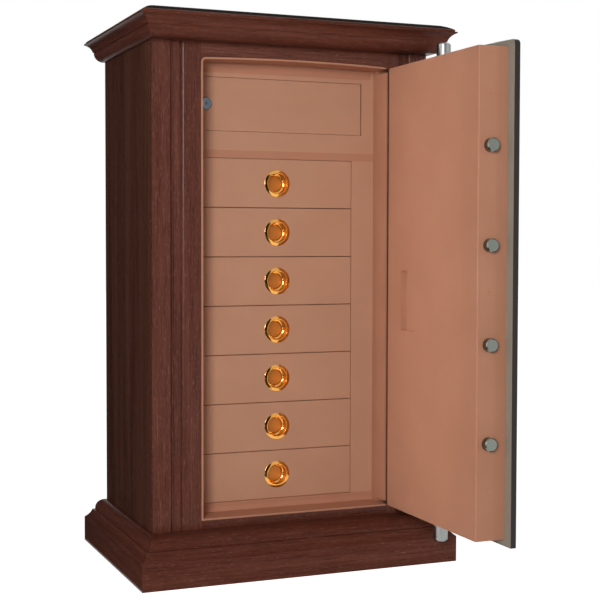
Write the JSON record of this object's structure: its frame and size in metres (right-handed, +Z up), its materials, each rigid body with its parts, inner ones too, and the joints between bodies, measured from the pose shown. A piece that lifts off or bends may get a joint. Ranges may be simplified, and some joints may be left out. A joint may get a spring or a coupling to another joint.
{
  "type": "jewelry safe",
  "caption": "Tall wooden jewelry safe with a moulded crown and plinth, a thick door with sliding bolts standing open, drawers with round pulls, and a small locker above them.",
  "frame": {"origin": "on the floor at the middle of the plinth", "axes": "+Z up, -Y to the front where the door opens, +X to the right as seen from the front"},
  "size_m": [0.6794, 0.819, 1.12],
  "materials": {
    "case_wood": "satin varnish over dark stained wood",
    "tan_lacquer": "matt tan lacquer",
    "pull_brass": "polished",
    "satin_steel": "satin",
    "lock_chrome": "polished"
  },
  "bodies": {
    "case": {"plinth": "case_wood", "crown": "case_wood", "top_board": "case_wood", "side_panel_left": "case_wood", "side_panel_right": "case_wood", "back_panel": "case_wood", "pilaster_left": "case_wood", "pilaster_right": "case_wood", "top_rail": "case_wood", "bottom_rail": "case_wood", "base_plate": "case_wood", "steel_body": "tan_lacquer", "strike_plate": "tan_lacquer", "pivot_bushes": "pull_brass", "sill_lining": "tan_lacquer", "jamb_left": "tan_lacquer", "jamb_right": "tan_lacquer", "head_lining": "tan_lacquer", "head_slip": "tan_lacquer", "sill_slip": "tan_lacquer", "cabinet_floor": "tan_lacquer", "cabinet_cheek_left": "tan_lacquer", "cabinet_cheek_right": "tan_lacquer", "cabinet_stile": "tan_lacquer", "cabinet_shelf": "tan_lacquer", "drawer_runners": "satin_steel", "locker_frame": "tan_lacquer", "door_stop_top": "satin_steel", "door_stop_bottom": "satin_steel"},
    "door": {"door_casing": "tan_lacquer", "pull_recess": "tan_lacquer", "pivot_plate_top": "satin_steel", "pivot_plate_bottom": "satin_steel", "door_panel": "case_wood", "door_moulding": "case_wood", "door_field": "case_wood", "handle_rose": "pull_brass", "key_lock": "pull_brass"},
    "bolt_work": {"bolt_bar": "satin_steel", "bolts": "satin_steel"},
    "handle": {"door_handle": "pull_brass"},
    "locker_leaf": {"locker_door": "tan_lacquer", "locker_pins": "satin_steel", "locker_lock": "lock_chrome"},
    "locker_plug": {"locker_cam": "lock_chrome"},
    "tray_1": {"drawer_1": "tan_lacquer", "pull_1": "pull_brass"},
    "tray_2": {"drawer_2": "tan_lacquer", "pull_2": "pull_brass"},
    "tray_3": {"drawer_3": "tan_lacquer", "pull_3": "pull_brass"},
    "tray_4": {"drawer_4": "tan_lacquer", "pull_4": "pull_brass"},
    "tray_5": {"drawer_5": "tan_lacquer", "pull_5": "pull_brass"},
    "tray_6": {"drawer_6": "tan_lacquer", "pull_6": "pull_brass"},
    "tray_7": {"drawer_7": "tan_lacquer", "pull_7": "pull_brass"}
  },
  "joints": [
    {"name": "door_swing", "type": "hinge", "parent": "case", "child": "door", "pos_m": [0.2345, -0.142, 0.573], "axis": [0, 0, 1], "range_deg": [-90, 0]},
    {"name": "handle_turn", "type": "hinge", "parent": "door", "child": "handle", "pos_m": [0.285, -0.4875, 0.575], "axis": [1, 0, 0], "range_deg": [-90, 0]},
    {"name": "bolt_throw", "type": "slide", "parent": "door", "child": "bolt_work", "axis": [0, -1, 0], "range_m": [0, 0.022]},
    {"name": "locker_swing", "type": "hinge", "parent": "case", "child": "locker_leaf", "pos_m": [0.172, -0.1045, 0.9486], "axis": [0, 0, 1], "range_deg": [0, 90]},
    {"name": "locker_key_turn", "type": "hinge", "parent": "locker_leaf", "child": "locker_plug", "pos_m": [-0.1676, -0.1085, 0.9486], "axis": [0, -1, 0], "range_deg": [-90, 0]},
    {"name": "drawer_1_slide", "type": "slide", "parent": "case", "child": "tray_1", "axis": [0, -1, 0], "range_m": [0, 0.2]},
    {"name": "drawer_2_slide", "type": "slide", "parent": "case", "child": "tray_2", "axis": [0, -1, 0], "range_m": [0, 0.2]},
    {"name": "drawer_3_slide", "type": "slide", "parent": "case", "child": "tray_3", "axis": [0, -1, 0], "range_m": [0, 0.2]},
    {"name": "drawer_4_slide", "type": "slide", "parent": "case", "child": "tray_4", "axis": [0, -1, 0], "range_m": [0, 0.2]},
    {"name": "drawer_5_slide", "type": "slide", "parent": "case", "child": "tray_5", "axis": [0, -1, 0], "range_m": [0, 0.2]},
    {"name": "drawer_6_slide", "type": "slide", "parent": "case", "child": "tray_6", "axis": [0, -1, 0], "range_m": [0, 0.2]},
    {"name": "drawer_7_slide", "type": "slide", "parent": "case", "child": "tray_7", "axis": [0, -1, 0], "range_m": [0, 0.2]}
  ],
  "couplings": [
    {"joint": "bolt_throw", "follows": "handle_turn", "m_per_rad": -0.014006}
  ]
}
